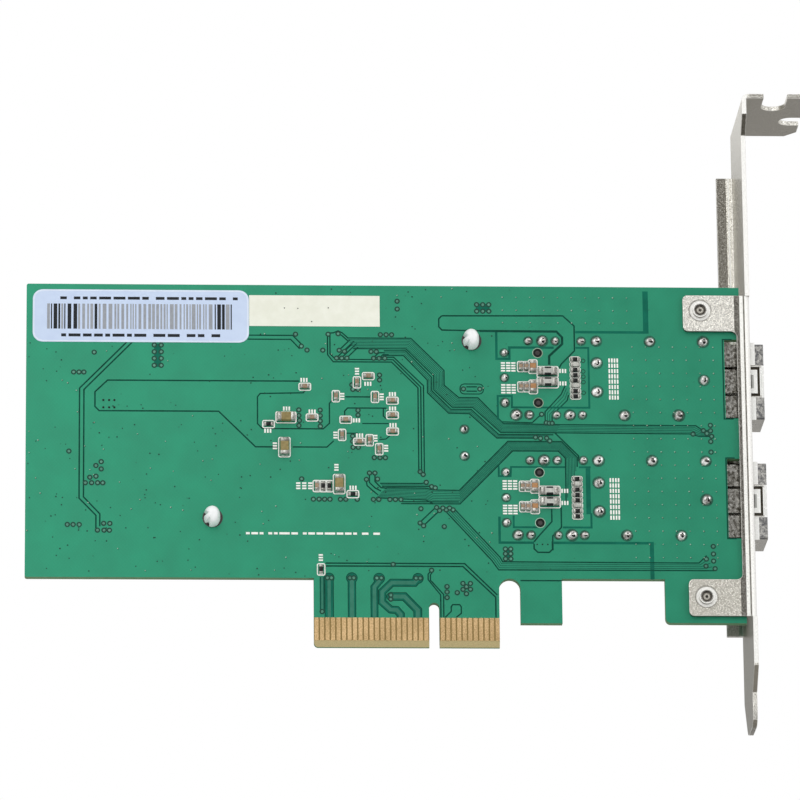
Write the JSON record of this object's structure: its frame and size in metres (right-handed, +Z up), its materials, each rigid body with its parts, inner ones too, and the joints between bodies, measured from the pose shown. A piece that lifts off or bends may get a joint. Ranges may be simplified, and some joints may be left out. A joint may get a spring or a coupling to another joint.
{
  "type": "network interface card",
  "caption": "Two-port fibre network card for a four-lane slot: green low-profile board, gold edge contacts, port cages and a full-height folded steel bracket.",
  "frame": {"origin": "centre of the key notch at the tip of the gold contact tongue, in the board's mid-plane", "axes": "+X along the board toward the bracket, +Y from the solder side to the component side, +Z up out of the slot"},
  "size_m": [0.1451, 0.0216, 0.1192],
  "materials": {
    "green_laminate": "satin solder mask",
    "gold_plate": "satin plate",
    "nickel_steel": "grainy nickel plate",
    "zinc_steel": "zinc plate",
    "cage_steel": "bright rolled sheet",
    "spring_steel": "bright spring sheet",
    "black_plastic": "moulded",
    "dark_moulding": "moulded",
    "grey_pad": "soft",
    "anodised_aluminium": "dark anodised",
    "white_nylon": "moulded",
    "can_steel": "drawn can",
    "can_aluminium": "drawn can",
    "grey_ferrite": "pressed ferrite",
    "clear_lens": "clear",
    "tan_ceramic": "fired",
    "brown_ceramic": "fired",
    "black_chip": "printed",
    "solder": "bright tin",
    "label_paper": "coated paper"
  },
  "bodies": {
    "root": {"circuit_board": "green_laminate", "edge_contacts": "gold_plate", "bracket": "nickel_steel", "bracket_screws": "zinc_steel", "sfp_cage_upper": "cage_steel", "sfp_cage_lower": "cage_steel", "spring_collar_upper": "spring_steel", "spring_collar_lower": "spring_steel", "sfp_connector_upper": "black_plastic", "sfp_connector_lower": "black_plastic", "port_contacts_upper": "gold_plate", "port_contacts_lower": "gold_plate", "network_controller": "dark_moulding", "thermal_pad": "grey_pad", "heat_sink": "anodised_aluminium", "push_pins": "white_nylon", "pin_springs": "spring_steel", "crystal": "can_steel", "memory_chips": "dark_moulding", "regulators": "dark_moulding", "power_coils": "grey_ferrite", "can_capacitors": "can_aluminium", "light_housings": "black_plastic", "light_lenses": "clear_lens", "large_capacitors": "tan_ceramic", "small_capacitors": "tan_ceramic", "small_resistors": "black_chip", "port_capacitors": "tan_ceramic", "filter_capacitors": "brown_ceramic", "port_inductors": "grey_ferrite", "port_resistors": "black_chip", "lane_capacitors": "tan_ceramic", "solder_joints": "solder", "label": "label_paper"}
  },
  "joints": []
}
